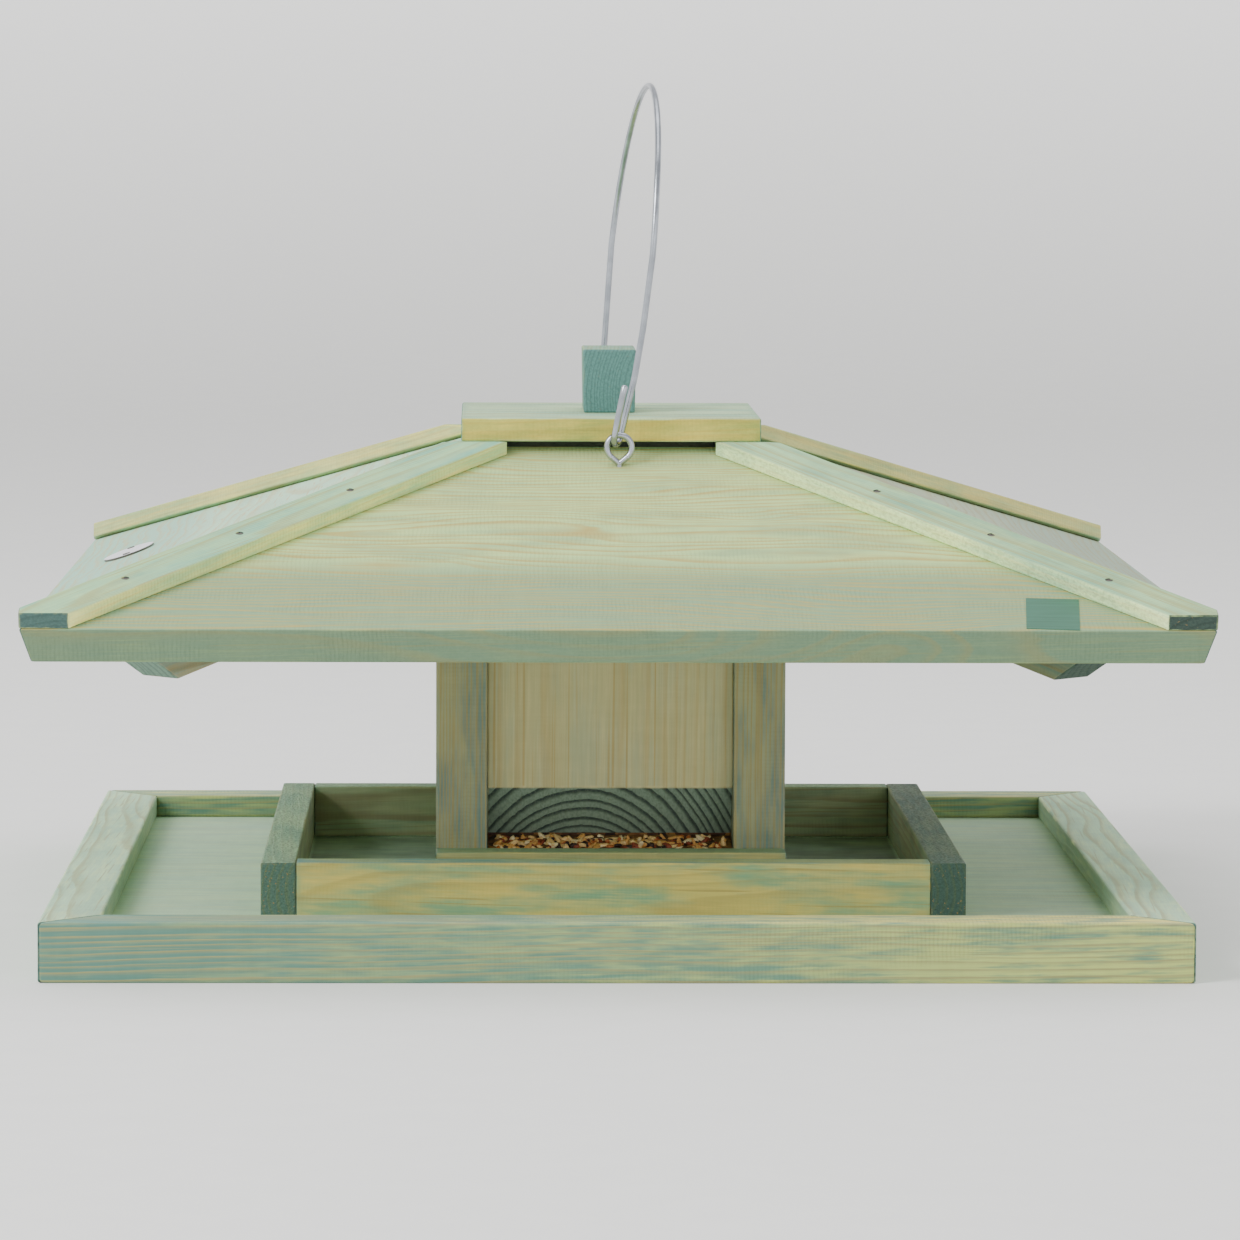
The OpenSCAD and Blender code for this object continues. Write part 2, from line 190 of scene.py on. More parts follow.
def long_faces(group, given, fibrous, fibre, late, from_knot):
    """Stain on the faces along the grain: deep in some patches and where it soaked in, worn to
    ochre in others and on the arrises, and shed by the hard lines of late wood. Gives the
    colour, and how bare the arrises are."""
    dry = add(group, "Math", [given["Soak"], -0.8, 1.0], operation="MULTIPLY_ADD")
    worn = add(group, "Math", [fibre, 0.34, fibrous(26, 3.4, 4, 7.1)], operation="MULTIPLY_ADD")
    worn = add(group, "Math", [fibrous(90, 24, 1, 8.3), 0.4, worn], operation="MULTIPLY_ADD")
    worn = add(group, "Math", [worn, 0.37], operation="SUBTRACT")
    worn = add(group, "Math", [worn, given["Worn level"]], operation="SUBTRACT")
    worn = add(group, "MapRange", [worn, -0.15, 0.23], **SMOOTH)
    worn = add(group, "Math", [worn, given["Worn amount"]], operation="MULTIPLY")
    worn = add(group, "Math", [worn, dry], operation="MULTIPLY")

    deep = add(group, "Math", [fibre, 0.16, fibrous(52, 13, 4, 11.9)], operation="MULTIPLY_ADD")
    deep = add(group, "MapRange", [deep, 0.46, 0.72], **SMOOTH)
    deep = add(group, "Math", [deep, given["Deep amount"]], operation="MULTIPLY")
    soak = add(group, "MapRange", [fibre, 0.1, 0.6, 0.5, 1.0], **SMOOTH)
    soak = add(group, "Math", [given["Soak"], soak], operation="MULTIPLY")
    deep = add(group, "Math", [deep, soak], operation="MAXIMUM", use_clamp=True)
    colour = add(group, "Mix", {0: deep, 6: given["Stain"], 7: given["Deep"]}, **RGBA)
    colour = add(group, "Mix", {0: worn, 6: colour, 7: given["Worn"]}, **RGBA)

    line = add(group, "Math", [late, given["Lines"]], operation="MULTIPLY")
    faint = add(group, "MapRange", [fibrous(60, 9, 2, 5.3), 0.3, 0.6, 0.55, 1.1], **SMOOTH)
    line = add(group, "Math", [line, faint], operation="MULTIPLY")
    streak = add(group, "MapRange", [fibrous(240, 1.5, 1, 15.1), 0.62, 0.7, 0.0, 0.7], **SMOOTH)
    line = add(group, "Math", [line, streak], operation="MAXIMUM", use_clamp=True)
    broad = add(group, "Math", [given["Edge"], -0.65, 1.0], operation="MULTIPLY_ADD")
    line = add(group, "Math", [line, broad], operation="MULTIPLY")
    colour = add(group, "Mix", {0: line, 6: colour, 7: given["Line"]}, **RGBA)

    knot = add(group, "MapRange", [from_knot, 1.15, 0.5], **SMOOTH)
    knot = add(group, "Math", [knot, 0.7], operation="MULTIPLY")
    colour = add(group, "Mix", {0: knot, 6: colour, 7: given["Deep"]}, **RGBA)
    narrow = add(group, "Mix", {0: 1.0, 6: colour, 7: given["Edge tint"]}, **TINT)
    colour = add(group, "Mix", {0: given["Edge"], 6: colour, 7: narrow}, **RGBA)
    bare = add(group, "MapRange", [fibrous(40, 9, 4, 6.3), 0.46, 0.7, 0.0, 0.8], **SMOOTH)
    bare = add(group, "Math", [given["Arris"], bare], operation="MULTIPLY")
    bare = add(group, "Math", [bare, dry], operation="MULTIPLY")
    return add(group, "Mix", {0: bare, 6: colour, 7: given["Worn"]}, **RGBA), bare


def sawn_texture(group, given, fibrous, fibre):
    """Light and dark of the long faces: fibres, saw strokes 1.9 mm apart that show in patches,
    torn fibres on rough edges, and painted shade in blotches like dirt. Gives the shade, the strokes
    and the tears."""
    strokes = add(group, "SeparateXYZ", [given["Point"]]).outputs["X"]
    strokes = add(group, "Math", [strokes, 2 * math.pi / 1.9], operation="MULTIPLY")
    strokes = add(group, "Math", [fibrous(11, 12, 1, 2.9), 7.0, strokes], operation="MULTIPLY_ADD")
    strokes = add(group, "Math", [strokes], operation="SINE")
    strokes = add(group, "MapRange", [strokes, -0.2, 0.9], **SMOOTH)
    patches = add(group, "MapRange", [fibrous(60, 14, 1, 9.1), 0.38, 0.62], **SMOOTH)
    patches = add(group, "Math", [given["Saw"], patches], operation="MULTIPLY")
    strokes = add(group, "Math", [strokes, patches], operation="MULTIPLY")
    torn = add(group, "MapRange", [fibrous(1.9, 1.3, 2, 12.7), 0.42, 0.62], **SMOOTH)
    rough_edge = add(group, "Math", [given["Rough"], given["Edge"]], operation="MULTIPLY")
    torn = add(group, "Math", [torn, rough_edge], operation="MULTIPLY")

    shade = add(group, "Math", [fibre, 0.3, 0.78], operation="MULTIPLY_ADD")
    shade = add(group, "Math", [fibrous(5, 24, 3, 17.3), 0.14, shade], operation="MULTIPLY_ADD")
    for marks, darkness in ((strokes, 0.11), (torn, 0.34)):
        marks = add(group, "Math", [marks, darkness], operation="MULTIPLY")
        shade = add(group, "Math", [shade, marks], operation="SUBTRACT")
    # painted shade: darkens the tray floor inside its frame, where the rails would shade it, in
    # blotches like dirt
    shade_and_dirt = add(group, "MapRange", [fibrous(30, 22, 3, 13.1), 0.2, 0.8, 0.5, 0.8], **SMOOTH)
    shade_and_dirt = add(group, "Math", [given["Shade and dirt"], shade_and_dirt], operation="MULTIPLY")
    unshaded = add(group, "Math", [1.0, shade_and_dirt], operation="SUBTRACT")
    return add(group, "Math", [shade, unshaded], operation="MULTIPLY"), strokes, torn


def board_ends(group, given, fibrous, bands, bare):
    """Ends of the fibres drink more stain and show the rings. Rough ones have pale specks of
    torn fibre."""
    pores = fibrous(3.0, 0.9, 2, 4.4)
    line = add(group, "MapRange", [pores, 0.25, 0.6, 0.6, 1.0], **SMOOTH)
    line = add(group, "Math", [bands, line], operation="MULTIPLY")
    end = add(group, "Mix", {0: line, 6: given["End stain"], 7: given["End line"]}, **RGBA)
    holes = add(group, "ValToRGB", [pores])
    set_stops(holes, [(0.3, 0.72), (0.62, 1.0)])
    end = add(group, "Mix", {0: 1.0, 6: end, 7: holes}, **TINT)
    specks = add(group, "MapRange", [fibrous(1.3, 1.3, 1, 19.7), 0.66, 0.76, 0.0, 0.8], **SMOOTH)
    specks = add(group, "Math", [specks, given["Rough"]], operation="MULTIPLY")
    end = add(group, "Mix", {0: specks, 6: end, 7: linear("#a2814b")}, **RGBA)
    rubbed = add(group, "Math", [bare, 0.7], operation="MULTIPLY")
    return add(group, "Mix", {0: rubbed, 6: end, 7: given["Worn"]}, **RGBA)


def softwood_group():
    """Sawn spruce with a thin green stain, one recipe for every board: the year rings make
    flames on faces and arcs on ends, the stain lies unevenly over them, and the saw and the
    fibres leave a matt, faintly ribbed surface."""
    group = bpy.data.node_groups.new("stained_softwood", "ShaderNodeTree")
    for kind, names in SOCKETS.items():
        for name in names:
            group.interface.new_socket(name, in_out="INPUT", socket_type="NodeSocket" + kind)
    for name, kind in (("Color", "Color"), ("Roughness", "Float"), ("Height", "Float")):
        group.interface.new_socket(name, in_out="OUTPUT", socket_type="NodeSocket" + kind)
    given = add(group, "NodeGroupInput").outputs

    def fibrous(long, wide, detail, shift=0.0):
        """Cloudy noise laid along the grain, its blots so many millimetres long and wide."""
        laid = add(group, "Mapping", {
            "Vector": given["Point"], "Location": (shift, shift, shift),
            "Scale": (1 / long, 1 / wide, 1 / wide)})
        return add(group, "TexNoise", {
            "Vector": laid, "Scale": 1.0, "Detail": detail, "Roughness": 0.55})

    fibre = fibrous(38, 0.75, 2, 1.3)
    late, bands, from_knot = year_rings(group, given, fibrous)
    colour, bare = long_faces(group, given, fibrous, fibre, late, from_knot)
    shade, strokes, torn = sawn_texture(group, given, fibrous, fibre)
    shade = add(group, "CombineColor", [shade, shade, shade])
    colour = add(group, "Mix", {0: 1.0, 6: colour, 7: shade}, **TINT)
    end = board_ends(group, given, fibrous, bands, bare)
    colour = add(group, "Mix", {0: given["End"], 6: colour, 7: end}, **RGBA)

    height = add(group, "Math", [fibre, 0.45], operation="MULTIPLY")
    height = add(group, "Math", [late, 0.35, height], operation="MULTIPLY_ADD")
    groove = add(group, "Math", [strokes, 0.5], operation="MULTIPLY")
    height = add(group, "Math", [height, groove], operation="SUBTRACT")
    height = add(group, "Math", [height, torn], operation="SUBTRACT")
    roughness = add(group, "MapRange", [fibre, 0.2, 0.8, 0.62, 0.82], **SMOOTH)
    add(group, "NodeGroupOutput", {"Color": colour, "Roughness": roughness, "Height": height})
    return group


SOFTWOOD = softwood_group()
TREE_STEP = 613.0  # mm along the tree from one board's middle to the next one's
WICK = 5  # mm that stain soaks into a board's end
WICK_FADE = 5  # mm over which it fades
ROOF_FOOT, ROOF_HEAD = (173 * MM, 185 * MM), (208 * MM, 232 * MM)  # heights where bands fade
WEAR_REACH = 220  # mm each way from a board's middle over which its wear changes
SHADE_AND_DIRT_REACH = (146 * MM, 143 * MM)  # how far from the tray's middle the painted shade and dirt start, and are full

# One board: its node, the ways that its fibres run and its broad face looks, how far across
# and out its middle lies from the heart of the tree in mm, the tilt of its fibres in degrees,
# the width of a year ring and how far the rings wander in mm, how strong the lines are, how
# strong the wear is and how much stain it leaves, how strong the deep stain and the saw
# strokes are, its colours, and the radius of its arrises in mm.
Board = namedtuple("Board", (
    "node", "along", "face", "pith", "tilt", "ring", "wander", "lines", "worn", "level", "deep",
    "saw", "hues", "arris"))


def soaked_ends(tree, point, middle, half, wick):
    """How much stain soaked in at the two ends of a board."""
    reach = add(tree, "SeparateXYZ", [point]).outputs["X"]
    off_middle = add(tree, "Math", [reach, middle], operation="SUBTRACT")
    off_middle = add(tree, "Math", [off_middle], operation="ABSOLUTE")
    start = half - wick
    return add(tree, "MapRange", [off_middle, start, start + WICK_FADE, 0.0, 0.8], **SMOOTH)


def soaked_bands(tree, place):
    """How much stain soaked in along the foot and the head of the roof, by height."""
    height = add(tree, "SeparateXYZ", [place]).outputs["Z"]
    foot = add(tree, "MapRange", [height, *ROOF_FOOT, 1.0, 0.0], **SMOOTH)
    head = add(tree, "MapRange", [height, *ROOF_HEAD, 0.0, 0.8], **SMOOTH)
    return add(tree, "Math", [foot, head], operation="MAXIMUM")


def stained_softwood(board, order):
    """Wood for one board: its place in the tree, which faces are ends or narrow, where stain
    soaked in, and where the board is worn."""
    material, tree = new_material(board.node + "_stained_spruce")
    low, high = (Vector(corner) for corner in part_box(board.node))
    along, face = Vector(board.along).normalized(), Vector(board.face).normalized()
    lay = (Matrix.Rotation(math.radians(board.tilt[0]), 3, "Y")
           @ Matrix.Rotation(math.radians(board.tilt[1]), 3, "Z")
           @ Matrix((along, face.cross(along), face)))
    middle = Vector((order * TREE_STEP, *board.pith))
    where = add(tree, "TexCoord").outputs
    point = add(tree, "Mapping", {
        "Vector": where["Object"], "Location": middle - lay @ ((low + high) / 2 / MM),
        "Rotation": lay.to_euler(), "Scale": (1 / MM, 1 / MM, 1 / MM)})

    def facing(way, none, full):
        """From 0 to 1 as the share of a face's way that lies along this one goes from none
        to full."""
        lean = add(tree, "VectorMath", [where["Normal"], way], operation="DOT_PRODUCT")
        lean = add(tree, "Math", [lean], operation="ABSOLUTE")
        return add(tree, "MapRange", [lean, none, full])

    knot, knot_size = KNOTS.get(board.node, NO_KNOT)
    broad, narrow = linear(board.hues[0]), linear(board.hues[-1])
    feeds = {
        "Point": point, "End": facing(along, 0.38, 0.5), "Edge": facing(face, 0.8, 0.5),
        "Arris": add(tree, "Attribute", attribute_name="arris").outputs["Fac"],
        "Ring": board.ring, "Wander": board.wander, "Lines": board.lines,
        "Worn amount": board.worn, "Worn level": board.level, "Deep amount": board.deep,
        "Saw": board.saw, "Rough": ROUGH.get(board.node, ROUGH_ELSEWHERE),
        "Knot": middle + Vector((*knot, 0)), "Knot size": knot_size,
        "Edge tint": [n / b for n, b in zip(narrow, broad)],
    }
    for key, hue in zip(("Stain", "Deep", "Worn", "Line", "End stain", "End line"), board.hues):
        feeds[key] = linear(hue)
    if board.node in DRIFTS:
        more = DRIFTS[board.node]
        reach = add(tree, "SeparateXYZ", [point]).outputs["X"]
        for key, near, far in (
            ("Worn level", board.level + more, board.level - more), ("Saw", 0.0, board.saw),
            ("Deep amount", board.deep * 1.5, board.deep * 0.2), ("Soak", 0.9, -0.4),
        ):
            feeds[key] = add(tree, "MapRange", [
                reach, middle.x - WEAR_REACH, middle.x + WEAR_REACH, near, far])
    elif board.node.startswith("roof"):
        feeds["Soak"] = soaked_bands(tree, where["Object"])
    else:
        half = sum(abs(a) * length for a, length in zip(along, high - low)) / 2 / MM
        feeds["Soak"] = soaked_ends(tree, point, middle.x, half, SOAKS.get(board.node, WICK))
    # painted shade with dirt blotches: the tray floor darkens inside its frame, where the rails and
    # hopper would shade it
    if board.node == "tray_floor":
        x, y = (add(tree, "Math", [axis], operation="ABSOLUTE")
                for axis in add(tree, "SeparateXYZ", [where["Object"]]).outputs[:2])
        inside = add(tree, "Math", [x, y], operation="MAXIMUM")
        feeds["Shade and dirt"] = add(tree, "MapRange", [inside, *SHADE_AND_DIRT_REACH, 0.0, 0.9])

    wood = add(tree, "Group", feeds, node_tree=SOFTWOOD).outputs
    bump = add(tree, "Bump", {"Height": wood["Height"], "Strength": 0.6, "Distance": 0.35 * MM})
    end_material(tree, {"Base Color": wood["Color"], "Roughness": wood["Roughness"],
                        "Normal": bump, "Specular IOR Level": 0.3})
    return material


# ---------------------------------------------------------------- boards


def worn_board(node, body, material, arris):
    """A board from its solid, with its long edges rounded by sanding and wear."""
    mesh = frame["nodes"][node].data.copy()
    mesh.name = node + "_wood"
    shape = bmesh.new()
    shape.from_mesh(mesh)
    bmesh.ops.remove_doubles(shape, verts=shape.verts, dist=0.01 * MM)
    bmesh.ops.dissolve_limit(
        shape, angle_limit=math.radians(0.5), verts=shape.verts, edges=shape.edges)
    mark = shape.faces.layers.float.new("arris")
    sharp = [edge for edge in shape.edges if edge.is_manifold
             and edge.calc_face_angle(0.0) > math.radians(25) and edge.calc_length() > 4 * MM]
    rounded = bmesh.ops.bevel(
        shape, geom=sharp, offset=arris * MM, offset_type="OFFSET", segments=3, profile=0.5,
        affect="EDGES", clamp_overlap=False, material=-1)
    for part in rounded["faces"]:
        part[mark] = 1.0
    shape.to_mesh(mesh)
    shape.free()
    piece = place_mesh(mesh, material, smooth=False)
    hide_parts(node)
    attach(piece, body)


# directions: a face to the right is X, to the back Y and up Z
X, Y, Z, FRONT, LEFT = (1, 0, 0), (0, 1, 0), (0, 0, 1), (0, -1, 0), (-1, 0, 0)
ROOF_PITCH = 18.7
HIP = math.tan(math.radians(ROOF_PITCH))  # rise of the roof for one step in from the eave

# stain, deep stain, worn, line, end stain, end line, narrow faces
SAGE = ("#638972", "#547f74", "#b7c26f", "#939162", "#4a665f", "#3b534b", "#92b49a")
RIM = ("#c9eac9", "#abd0ba", "#f1fdc0", "#b6ba8f", "#5c7e75", "#49675d", "#a4c2a2")
OCHRE = ("#c9bb68", "#7fa680", "#e1c768", "#a59356", "#587268", "#777954", "#b0c090")
KICK = ("#b7bc86", "#a0b48c", "#d6cb83", "#a49c68", "#7a9d8f", "#a3a675", "#97b191")
RAIL_L = ("#97a781", "#7a9379", "#b3b78b", "#868363", "#547165", "#5f745b", "#bad7b3")
# painted shade: the left rail's palette with darker ends and narrow faces, for the right rail on the
# side turned from the key light
RAIL_R_SHADED = ("#97a781", "#7a9379", "#b3b78b", "#868363", "#466057", "#516551", "#91a491")
POST = ("#a1a886", "#728c86", "#b5aa79", "#a79661", "#70988d", "#597c71", "#929d83")
BOARD = ("#cac391", "#b3bea0", "#dcd19d", "#bda069", "#8da28f", "#3e4d47", "#c1cba9")
FLOOR = ("#beddc0", "#aac8b8", "#d7e8bc", "#c0cea1", "#5c7e75", "#49675d", "#9cb89a")
PALE = ("#bcd791", "#80a181", "#d1db88", "#b7a45e", "#4b6f69", "#3e5d56", "#94ab73")
GREY = ("#c0e5c6", "#a3d0bb", "#cddda5", "#c9b682", "#4b6f69", "#3e5d56", "#7b8e76")
# painted shade: a darker, greyer copy of the roof's stain for the right slope, turned from the key
# light
ROOF_RIGHT_SHADED = ("#a8b59b", "#97ab99", "#bab78e", "#a19a73", "#517771", "#43635c", "#80937b")
CREAM_L = ("#a2d1a2", "#6ab5a6", "#ccdb90", "#a8a66b", "#4a6761", "#415d58", "#e9f49e")
# the right front batten's own stain, with its end colours darkened as painted shade on the side turned
# from the key light
CREAM_R_SHADED_ENDS = ("#a7d1a2", "#73a991", "#c9e59c", "#a8a46b", "#3a4d45", "#32433b", "#e4ffbd")
BACK = ("#b2d0a0", "#8ebe9c", "#e5e182", "#a19664", "#53766f", "#44625c", "#c9cc8a")
LID = ("#b1d3b1", "#85b49e", "#c9ddaa", "#a8a365", "#67997d", "#527a6b", "#c7bf60")
KNOB = ("#82a996", "#629789", "#a6b57c", "#788c69", "#5c8b85", "#527a75", "#679488")
# painted shade: a darkened copy of the stain for boards that sit in shadow, the lid locator under the
# lid and the rafters on the right
PAINTED_SHADE = ("#6f8467", "#587268", "#888662", "#757351", "#42564b", "#354942", "#62705c")
RAFTER = ("#8ba294", "#759694", "#bc9f6a", "#897a54", "#799684", "#607970", "#837649")
DRIFTS = {"rim_front": 0.13}  # how much further its far end is worn than its middle
ROUGH = {"rail_left": 1.0, "rail_right": 1.0, "rail_back": 0.6, "batten_front_right": 0.5}
ROUGH_ELSEWHERE = 0.15  # both say how torn the fibres are on ends and narrow faces
SOAKS = {"hopper_front": 14, "hopper_back": 14}  # mm that stain wicks up from a bevelled end
KNOTS = {"roof_front": ((60, 22), 4.0)}  # mm along and across from the middle, and its size
NO_KNOT = ((0, 0), 0.01)  # too small to show

BOARDS = [Board(*row) for row in (
    ("tray_floor", X, Z, (40, 60), (0.5, 1), 4.0, 10, 0.2, 0.5, 0.52, 0.5, 0.1, FLOOR, 0.3),
    ("rim_front", X, FRONT, (74, 10), (0.5, -0.9), 2.9, 10, 0.85, 0.7, 0.5, 0.4, 0.9, SAGE, 1.6),
    ("rim_right", Y, Z, (20, 30), (1, 2), 3.4, 9, 0.7, 0.4, 0.56, 0.5, 0.4, RIM, 1.2),
    ("rim_back", X, Y, (60, 16), (1, 1), 3.6, 8, 0.8, 0.5, 0.5, 0.7, 0.6, SAGE, 1.4),
    ("rim_left", Y, Z, (14, 26), (1.4, 2), 3.2, 10, 0.7, 0.4, 0.56, 0.6, 0.4, RIM, 1.2),
    ("rail_front", X, FRONT, (14, 36), (1.2, 1.5), 2.6, 9, 0.45, 0.5, 0.5, 1.0, 0.3, OCHRE, 1.0),
    ("rail_right", Y, X, (6, 22), (1, 2), 3.2, 8, 0.6, 0.3, 0.6, 0.8, 0.8, RAIL_R_SHADED, 0.9),
    ("rail_back", X, Y, (8, 24), (1, 2), 3.2, 8, 0.8, 0.5, 0.56, 0.8, 0.3, RAIL_L, 1.0),
    ("rail_left", Y, LEFT, (6, 22), (1, 2), 3.0, 8, 0.6, 0.3, 0.6, 0.8, 0.8, RAIL_L, 0.9),
    ("post_front_left", Z, FRONT, (44, 8), (0.3, 0.3), 1.7, 2, 0.8, 0.5, 0.5, 1.0, 0.3, POST, 0.9),
    ("post_front_right", Z, FRONT, (-48, 8), (0.3, 0.3), 2.2, 2, 0.8, 0.5, 0.5, 1.0, 0.3, POST, 0.9),
    ("post_back_right", Z, Y, (40, 8), (0.3, 0.3), 2.8, 2, 1.2, 0.5, 0.5, 1.0, 0.3, POST, 0.9),
    ("post_back_left", Z, Y, (-42, 10), (0.3, 0.3), 2.6, 2, 1.2, 0.5, 0.5, 1.0, 0.3, POST, 0.9),
    ("hopper_front", Z, FRONT, (-13, 52), (0.3, 0.3), 3.4, 3, 0.4, 0.4, 0.5, 0.5, 0.1, BOARD, 0.7),
    ("hopper_right", Z, X, (-10, 38), (0.3, 0.4), 3.6, 3, 0.4, 0.4, 0.5, 0.5, 0.1, BOARD, 0.7),
    ("hopper_back", Z, Y, (12, 44), (0.3, 0.4), 3.6, 3, 0.4, 0.4, 0.5, 0.5, 0.1, BOARD, 0.7),
    ("hopper_left", Z, LEFT, (6, 36), (0.3, 0.4), 3.6, 3, 0.4, 0.4, 0.5, 0.5, 0.1, BOARD, 0.7),
    ("kick_rail_front", X, FRONT, (12, 20), (1, 1), 3.0, 4, 0.5, 0.6, 0.45, 0.6, 0.2, KICK, 0.8),
    ("kick_rail_back", X, Y, (12, 20), (1, 1), 3.0, 4, 0.5, 0.6, 0.45, 0.6, 0.2, KICK, 0.8),
    ("roof_front", X, (0, -HIP, 1), (6, 26), (1.6, 0.6), 3.2, 34, 0.8, 0.25, 0.5, 0.5, 0.6, PALE, 0.9),
    ("roof_right", Y, (HIP, 0, 1), (-20, 34), (1.8, 1), 3.8, 12, 0.6, 0.2, 0.56, 0.4, 0.3, ROOF_RIGHT_SHADED, 0.9),
    ("roof_back", X, (0, HIP, 1), (14, 30), (2.0, 1), 3.8, 24, 0.7, 0.3, 0.54, 0.5, 0.3, PALE, 0.9),
    ("roof_left", Y, (-HIP, 0, 1), (16, 30), (1.8, 1), 5.2, 20, 0.45, 0.3, 0.58, 0.4, 0.3, GREY, 0.9),
    ("lid_plate", X, Z, (40, 30), (1.5, 1), 3.6, 8, 0.6, 0.5, 0.5, 0.9, 0.4, LID, 0.9),
    # the lid locator takes the painted shade palette
    ("lid_locator", X, Z, (4, 30), (1.5, 2), 3.6, 8, 0.6, 0.4, 0.5, 0.6, 0.3, PAINTED_SHADE, 0.7),
    ("lid_knob", Y, Z, (50, 6), (1, 2), 1.7, 3, 0.5, 0.4, 0.5, 0.6, 0.3, KNOB, 0.9),
)]
BATTENS = {"front_left": CREAM_L, "front_right": CREAM_R_SHADED_ENDS, "back_right": BACK, "back_left": BACK}
CORNERS = (("front_left", -1, -1), ("front_right", 1, -1), ("back_right", 1, 1), ("back_left", -1, 1))
for corner, right, back in CORNERS:
    hip = (-right, -back, HIP)
    BOARDS.append(Board(
        "rafter_" + corner, hip, (-right, back, 0), (8, 18), (1, 1), 3.2, 5, 0.8, 0.6, 0.52, 0.8,
        # the rafters on the right take the painted shade palette
        0.4, RAFTER if right < 0 else PAINTED_SHADE, 1.0))
    BOARDS.append(Board(
        "batten_" + corner, hip, (0, back * HIP, 1), (10, 14), (1, 1), 2.8, 6, 0.6, 0.3, 0.5, 0.7,
        0.5, BATTENS[corner], 0.8))

for order, board in enumerate(BOARDS, start=1):
    kind = board.node.split("_")[0]
    worn_board(board.node, "lid" if kind == "lid" else "root",
               stained_softwood(board, order), board.arris)


# ---------------------------------------------------------------- metal, label


def zinc_wire():
    """Bright zinc plating on drawn wire: a soft metal shine with faint 9 mm clouds of spangle."""
    material, tree = new_material("bright_zinc_plate")
    where = add(tree, "TexCoord").outputs["Object"]
    cloud = add(tree, "TexNoise", {"Vector": where, "Scale": 1 / (9.1 * MM), "Detail": 2.0})
    tone = add(tree, "ValToRGB", [cloud])
    set_stops(tone, [(0.35, "#9ca1a9"), (0.65, "#b2b7bf")])
    rough = add(tree, "MapRange", {"Value": cloud, "To Min": 0.2, "To Max": 0.3})
    end_material(tree, {"Base Color": tone, "Roughness": rough, "Metallic": 1.0})
    return material


def rolled_aluminium():
    """Thin rolled sheet, dull silver, its rolling lines 0.67 mm apart and 11 mm long, with
    painted shade on its edge and underside, on the faces turned away from the roof's slope."""
    material, tree = new_material("rolled_aluminium")
    where = add(tree, "TexCoord").outputs
    lines = add(tree, "Mapping", {
        "Vector": where["Object"], "Scale": (1 / (0.667 * MM), 1 / (11.1 * MM), 1 / (11.1 * MM))})
    streak = add(tree, "TexNoise", {"Vector": lines, "Scale": 1.0, "Detail": 2.0})
    tone = add(tree, "ValToRGB", [streak])
    set_stops(tone, [(0.3, "#ebe8f1"), (0.7, "#faf8ff")])
    # painted shade: faces that turn away from the roof's slope are darkened towards #57534d
    roof_face = Vector((-HIP, 0, 1)).normalized()
    facing = add(tree, "VectorMath", [where["Normal"], roof_face], operation="DOT_PRODUCT")
    edge_shade = add(tree, "MapRange", [facing, 0.7, 0.3])
    tone = add(tree, "Mix", {0: edge_shade, 6: tone, 7: linear("#57534d")}, **RGBA)
    end_material(tree, {"Base Color": tone, "Metallic": 0.35, "Roughness": 0.4})
    return material


def wire_steel(name, tone_low, tone_high):
    """Plain steel of screws and nails, dulled by weather in specks 1.1 mm wide."""
    material, tree = new_material(name)
    where = add(tree, "TexCoord").outputs["Object"]
    speck = add(tree, "TexNoise", {"Vector": where, "Scale": 1 / (1.11 * MM), "Detail": 3.0})
    tone = add(tree, "ValToRGB", [speck])
    set_stops(tone, [(0.35, tone_low), (0.65, tone_high)])
    end_material(tree, {"Base Color": tone, "Metallic": 0.85, "Roughness": 0.45})
    return material


def label_film():
    """Green self-adhesive film, nothing printed on it: it ripples over fibres 25 mm long and
    1.4 mm wide."""
    material, tree = new_material("green_label_film")
    where = add(tree, "TexCoord").outputs["Object"]
    fibres = add(tree, "Mapping", {
        "Vector": where, "Scale": (1 / (25 * MM), 1 / (1.43 * MM), 1 / (1.43 * MM))})
    ripple = add(tree, "TexNoise", {"Vector": fibres, "Scale": 1.0, "Detail": 2.0})
    tone = add(tree, "ValToRGB", [ripple])
    set_stops(tone, [(0.3, "#27614a"), (0.7, "#33705a")])
    bump = add(tree, "Bump", {"Height": ripple, "Strength": 0.4, "Distance": 0.1 * MM})
    end_material(tree, {"Base Color": tone, "Normal": bump, "Roughness": 0.38})
    return material


def finish_nodes(material, *nodes):
    """Gives solids that keep their own shape this finish."""
    for node in nodes:
        mesh = frame["nodes"][node].data
        mesh.materials.clear()
        mesh.materials.append(material)


ZINC = zinc_wire()
finish_nodes(ZINC, "screw_eye_front", "screw_eye_back")
finish_nodes(rolled_aluminium(), "metal_tag")
finish_nodes(label_film(), "blank_label")
finish_nodes(wire_steel("dulled_zinc_screws", "#7d7f7c", "#a3a5a2"),
             "lid_screw", "rim_screws", "rail_screws", "post_screws", "rafter_screws")
finish_nodes(wire_steel("weathered_wire_nails", "#4f4c46", "#7b786f"),
             "kick_rail_nails", "batten_brads", "tag_pins")


# ---------------------------------------------------------------- bail


